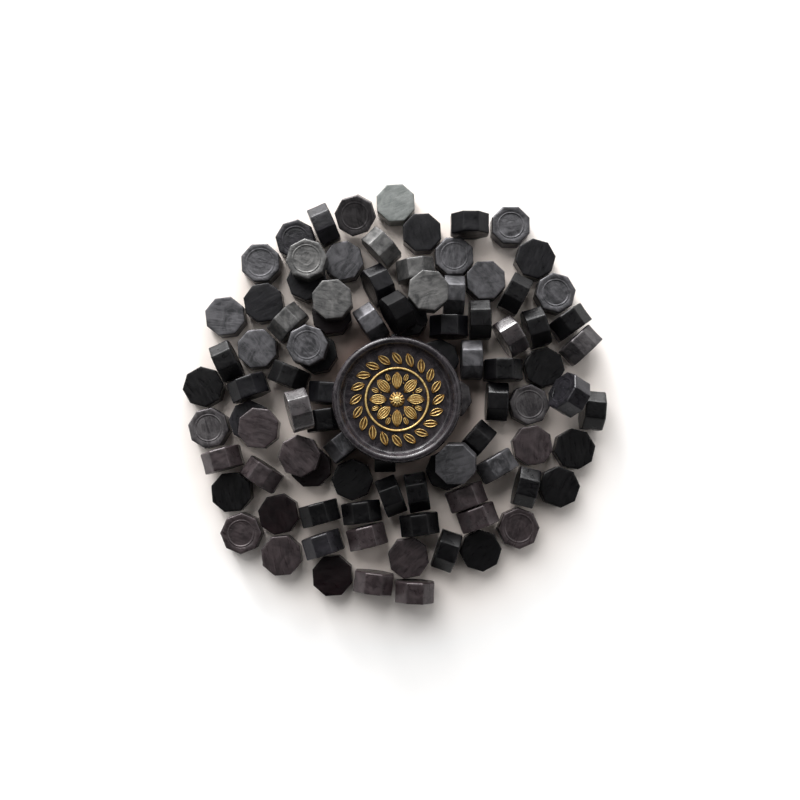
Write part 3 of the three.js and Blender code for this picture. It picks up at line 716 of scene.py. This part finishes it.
def leaf(length, width, height, field, ribs, sink):
    """A pointed leaf along Y with raised edges and ribs and sunk panels between them, its foot in the
    field. Every second rib is as high as the edges."""
    columns = RIB_COLUMNS * ribs + LEAF_COLUMNS
    top = []
    for row in range(LEAF_ROWS):
        along = LEAF_TIP + (1 - 2 * LEAF_TIP) * row / (LEAF_ROWS - 1)
        half = 2 * width * along * (1 - along)
        taper = min(1.0, (4 * along * (1 - along)) ** 0.5 * LEAF_FULLNESS)
        line = []
        for column in range(columns):
            across = 2 * column / (columns - 1) - 1
            inner = min(abs(across) / LEAF_EDGE, 1.0)
            fall = max(0.0, (abs(across) - LEAF_EDGE) / (1 - LEAF_EDGE))
            wave = 0.5 - 0.5 * math.cos(math.pi * (ribs + 1) * (1 - inner))
            tips = 1 - abs(2 * along - 1) ** 4
            rise = height * taper * (math.sqrt(max(0.0, 1 - fall * fall)) - sink * wave * tips)
            line.append((across * half, length * (along - 0.5), field + rise))
        top.append(line)
    return arched_solid(top, field - RELIEF_ROOT)


def copies(shape, count, radius, slant, half_step=False):
    """Copies of a shape round the seal, each slanted off its radius."""
    points, faces = shape
    all_points = []
    all_faces = []
    for index in range(count):
        around = 2 * math.pi * (index + (0.5 if half_step else 0)) / count
        outward = Matrix.Rotation(around, 4, "Z") @ Matrix.Translation((0, radius, 0))
        turn = outward @ Matrix.Rotation(slant, 4, "Z")
        start = len(all_points)
        all_points += [turn @ Vector(point) for point in points]
        all_faces += [tuple(start + corner for corner in face) for face in faces]
    return all_points, all_faces


def dome(radius, height, field, around, steps, flutes=0):
    """A low dome with its foot in the field, and flutes that run up to a knob in its middle."""
    def fluted(angle, out, up):
        if not flutes or up <= field:
            return out, up
        share = out / radius
        band = max(0.0, 1 - ((share - FLUTE_MIDDLE) / FLUTE_REACH) ** 2)
        if abs(share - KNOB_GROOVE) < KNOB_GROOVE_REACH:
            band += KNOB_GROOVE_DEPTH
        groove = 0.5 - 0.5 * math.cos(flutes * angle) if share > FLUTE_START else KNOB_DEPTH
        return out, up - FLUTE_DEPTH * min(band, 1.0) * groove * height
    profile = [(radius, field - RELIEF_ROOT), (radius, field)]
    for step in range(1, steps):
        turn = math.pi / 2 * step / steps
        profile.append((radius * math.cos(turn), field + height * math.sin(turn)))
    rings = turned(profile, around, fluted)
    points, faces = lofted(rings, (0, 0, field - RELIEF_ROOT), (0, 0, field + height))
    return [tuple(point) for point in points], faces


def hoop(radius, width, height, field, around=144, steps=6):
    """A round ring with an arched top, its foot in the field."""
    half = width / 2
    upright = field + height * RING_FOOT
    profile = [(radius + half, field - RELIEF_ROOT), (radius + half, upright)]
    for step in range(1, steps):
        turn = math.pi * step / steps
        rise = RING_FOOT + (1 - RING_FOOT) * math.sin(turn)
        profile.append((radius + half * math.cos(turn), field + height * rise))
    profile += [(radius - half, upright), (radius - half, field - RELIEF_ROOT)]
    rings = turned(profile, around)
    points = [point for ring in rings for point in ring]
    faces = []
    for ring in range(len(rings)):
        below = ring * around
        above = ((ring + 1) % len(rings)) * around
        for index in range(around):
            after = (index + 1) % around
            faces.append((below + index, below + after, above + after, above + index))
    return points, faces


def seal_warp(angle, radius, height):
    """The hand-pressed unevenness of the seal: its wall and rim wander, and its stamped field doesn't."""
    way = Vector((math.cos(angle), math.sin(angle), 0))
    outer = max(0.0, (radius - STAMP_RADIUS * WANDER_FROM) / WANDER_REACH)
    wander = sum(noise.noise(way * fine + Vector(at)) * share for fine, at, share in WANDER_WAVES)
    fine, at = LIFT_WAVES
    lift = noise.noise(way * fine + Vector(at))
    radius -= outer * SEAL_WANDER * (1 + wander)
    radius += min(outer, 1.0) * SEAL_OVAL * math.cos(angle) ** 2
    if height > 0:
        height += min(outer, 1.0) * SEAL_LIFT * (lift - LIFT_SINK)
    return radius, height


def make_seal():
    """The stamped disc and its gilt design."""
    low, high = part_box("wax_seal")
    middle = (low + high) / 2
    radius = (high.x - low.x) / 2
    thickness = high.z - low.z
    wall = radius - STAMP_RADIUS
    profile = [(STAMP_RADIUS * share, 0.0) for share in SEAL_FOOT]
    profile += [(STAMP_RADIUS + wall * out, thickness * up) for out, up in SEAL_WALL]
    profile += [(STAMP_RADIUS * share, FIELD_THICKNESS) for share in SEAL_FIELD]
    rings = turned(profile, SEAL_POINTS, seal_warp)
    points, faces = lofted(rings, (0, 0, 0), (0, 0, FIELD_THICKNESS))
    leaf_reach = LEAF_LENGTH / 2 * math.cos(LEAF_SLANT)
    wreath = STAMP_RADIUS - WREATH_MARGIN - leaf_reach
    ring_outer = wreath - leaf_reach - RING_MARGIN
    ring_inner = ring_outer - RING_WIDTH
    petal_length = ring_inner - BOSS_RADIUS - 2 * PETAL_MARGIN
    petal_middle = BOSS_RADIUS + PETAL_MARGIN + petal_length / 2
    sepal_middle = ring_inner - PETAL_MARGIN - SEPAL_LENGTH / 2
    dot_middle = sepal_middle - SEPAL_LENGTH / 2 - 2 * DOT_RADIUS
    field = FIELD_THICKNESS
    leaf_shape = leaf(LEAF_LENGTH, LEAF_WIDTH, RELIEF_HEIGHT, field, *LEAF_RIBS)
    petal_shape = leaf(petal_length, PETAL_WIDTH, RELIEF_HEIGHT, field, *PETAL_RIBS)
    sepal_shape = leaf(SEPAL_LENGTH, SEPAL_WIDTH, RELIEF_HEIGHT, field, *SEPAL_RIBS)
    dot = dome(DOT_RADIUS, RELIEF_HEIGHT * DOT_SHARE, field, *DOT_POINTS)
    boss = dome(BOSS_RADIUS, RELIEF_HEIGHT + BOSS_CROWN, field, *BOSS_POINTS, BOSS_FLUTES)
    ring_middle = (ring_outer + ring_inner) / 2
    forms = {
        "seal_disc": (points, faces),
        "gilt_leaves": copies(leaf_shape, LEAF_COUNT, wreath, LEAF_SLANT),
        "gilt_petals": copies(petal_shape, PETAL_COUNT, petal_middle, 0),
        "gilt_sepals": copies(sepal_shape, PETAL_COUNT, sepal_middle, 0, True),
        "gilt_dots": copies(dot, PETAL_COUNT, dot_middle, 0, True),
        "gilt_ring": hoop(ring_middle, RING_WIDTH, RELIEF_HEIGHT, field),
        "gilt_boss": boss,
    }
    for name, (shape_points, shape_faces) in forms.items():
        material, slot = (SEAL_WAX, "seal_wax") if name == "seal_disc" else (GILT, "gilt_paint")
        moved = [Vector(point) + Vector((middle.x, middle.y, low.z)) for point in shape_points]
        piece = object_from(name, moved, shape_faces, material, shape_points)
        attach(piece, "wax_seal")
        if name == "seal_disc":
            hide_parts("wax_seal")


# Stage

def make_floor():
    """The white table with painted shade: a warmer brown painted close round the heap's middle, where it
    lies in its deepest shade, and a warm painted shade round the heap.
    """
    signs = ((-1, -1), (1, -1), (1, 1), (-1, 1))
    corners = [(x * TABLE_REACH, y * TABLE_REACH, TABLE_LEVEL) for x, y in signs]
    # The table's material carries painted shade near the heap and is plain white beyond it.
    material, node, link, shader = new_material("table")
    shader.inputs["Roughness"].default_value = TABLE_ROUGHNESS
    shader.inputs["Specular IOR Level"].default_value = TABLE_SHINE
    place = node("ShaderNodeTexCoord")
    reach = node("ShaderNodeVectorMath")
    reach.operation = "LENGTH"
    link(place.outputs["Object"], reach.inputs[0])
    # Painted shade: dark warm brown in the heap's middle, warm beige round it.
    painted_shade_share = spread_over(node, link, reach.outputs["Value"], *PAINTED_SHADE_REACH)
    painted_shade_colour = mixed(node, link, painted_shade_share, linear(162, 140, 131), linear(251, 239, 230))
    # The warm painted shade runs out into the plain white table.
    clear = spread_over(node, link, reach.outputs["Value"], *PAINTED_WARM_SHADE_REACH)
    link(mixed(node, link, clear, painted_shade_colour, linear(252, 251, 250)), shader.inputs["Base Color"])
    floor = object_from("table", corners, [(0, 1, 2, 3)], material, corners, False)


def make_world():
    """A dim room: white at the horizon, and above it a pale band that is paler behind the heap than in
    front of it."""
    world = bpy.data.worlds.new("room")
    world.use_nodes = True
    tree = world.node_tree
    node, link = tree.nodes.new, tree.links.new
    background = tree.nodes["Background"]
    background.inputs["Color"].default_value = (1, 1, 1, 1)
    place = node("ShaderNodeTexCoord")
    parts = node("ShaderNodeSeparateXYZ")
    link(place.outputs["Generated"], parts.inputs["Vector"])
    band = spread_over(node, link, parts.outputs["Z"], *ROOM_BAND)
    side = spread_over(node, link, parts.outputs["Y"], *ROOM_SIDE)
    horizon = spread_over(node, link, parts.outputs["Z"], *HORIZON)
    room = joined(node, link, "MULTIPLY", band, side)
    link(joined(node, link, "MAXIMUM", horizon, room), background.inputs["Strength"])
    bpy.context.scene.world = world


def make_lamp(name, azimuth, elevation, spread, strength):
    """A soft far-off light: its angles, how wide it looks from the table, and what it sheds."""
    lamp = bpy.data.lights.new(name, "SUN")
    lamp.angle = math.radians(spread)
    lamp.energy = strength
    holder = bpy.data.objects.new(name, lamp)
    turn, rise = math.radians(azimuth), math.radians(elevation)
    away = Vector((math.cos(turn) * math.cos(rise), math.sin(turn) * math.cos(rise), math.sin(rise)))
    holder.rotation_euler = away.to_track_quat("Z", "Y").to_euler()
    bpy.context.scene.collection.objects.link(holder)


def make_camera():
    """The photograph's view, from nearly straight above."""
    camera = bpy.data.cameras.new("camera")
    camera.sensor_width = SENSOR_WIDTH
    camera.lens = LENS_PIXELS / PICTURE_PIXELS * SENSOR_WIDTH
    camera.clip_start = NEAR_CLIP
    holder = bpy.data.objects.new("camera", camera)
    back = VIEW_HEIGHT * math.tan(VIEW_LEAN)
    holder.location = (VIEW_POINT[0], VIEW_POINT[1] - back, VIEW_HEIGHT)
    holder.rotation_euler = (VIEW_LEAN, 0, 0)
    bpy.context.scene.collection.objects.link(holder)
    bpy.context.scene.camera = holder


make_camera()
make_beads()
make_seal()
make_floor()
make_world()
for lamp_name, lamp_settings in LAMPS.items():
    make_lamp(lamp_name, *lamp_settings)
bpy.context.scene.view_settings.view_transform = "Standard"
